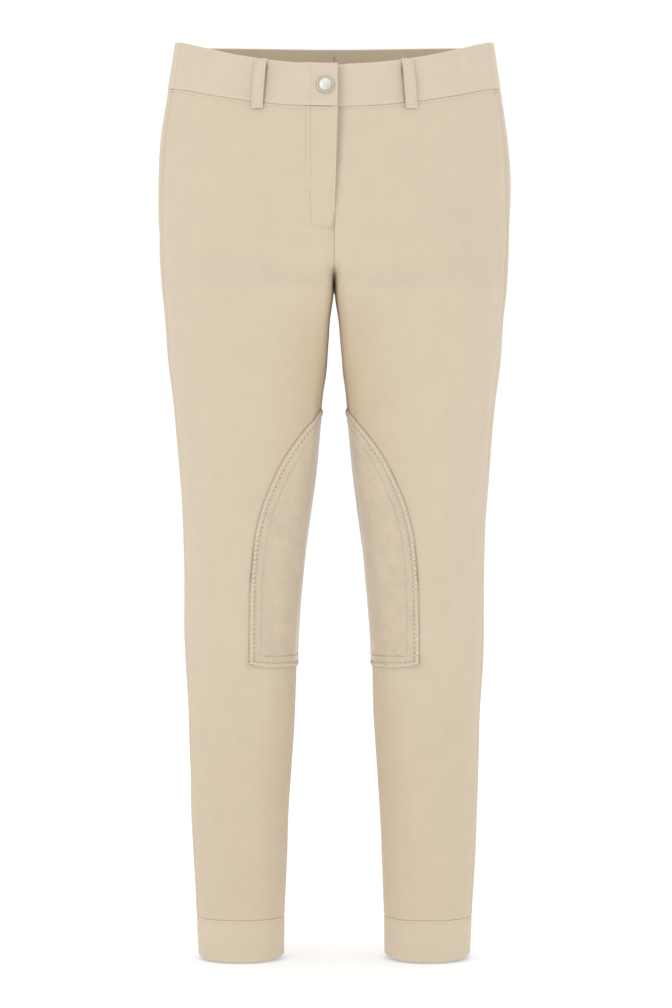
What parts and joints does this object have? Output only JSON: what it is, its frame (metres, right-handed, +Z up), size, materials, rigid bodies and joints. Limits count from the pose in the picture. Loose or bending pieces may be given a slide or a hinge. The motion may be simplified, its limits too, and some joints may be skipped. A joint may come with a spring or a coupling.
{
  "type": "riding jodhpurs",
  "caption": "Slim beige riding trousers with a shaped waistband, belt loops, press stud and fly, suedette knee patches over the inseams and turned-up ankle cuffs, filled out as if worn.",
  "frame": {"origin": "the middle of the waist opening, where the wearer's waist holds the garment up", "axes": "+Z up, the front faces -Y, the wearer's left is +X"},
  "size_m": [0.3524, 0.2399, 0.9208],
  "materials": {
    "twill": "matte stretch cotton twill, beige",
    "band_twill": "matte stretch cotton twill, doubled, beige",
    "suedette": "soft brushed suedette, a shade darker",
    "stud_metal": "satin metal rim",
    "stud_pearl": "pearly gloss cap"
  },
  "bodies": {
    "root": {"front_right": "twill", "front_left": "twill", "back_right": "twill", "back_left": "twill", "waistband_front_right": "band_twill", "waistband_front_left": "band_twill", "waistband_back": "band_twill", "belt_loop_front_right": "band_twill", "belt_loop_front_left": "band_twill", "belt_loop_back_right": "band_twill", "belt_loop_back_left": "band_twill", "belt_loop_centre_back": "band_twill", "knee_patch_right": "suedette", "knee_patch_left": "suedette", "ankle_cuff_right": "twill", "ankle_cuff_left": "twill", "press_stud_rim": "stud_metal", "press_stud_cap": "stud_pearl"}
  },
  "joints": []
}
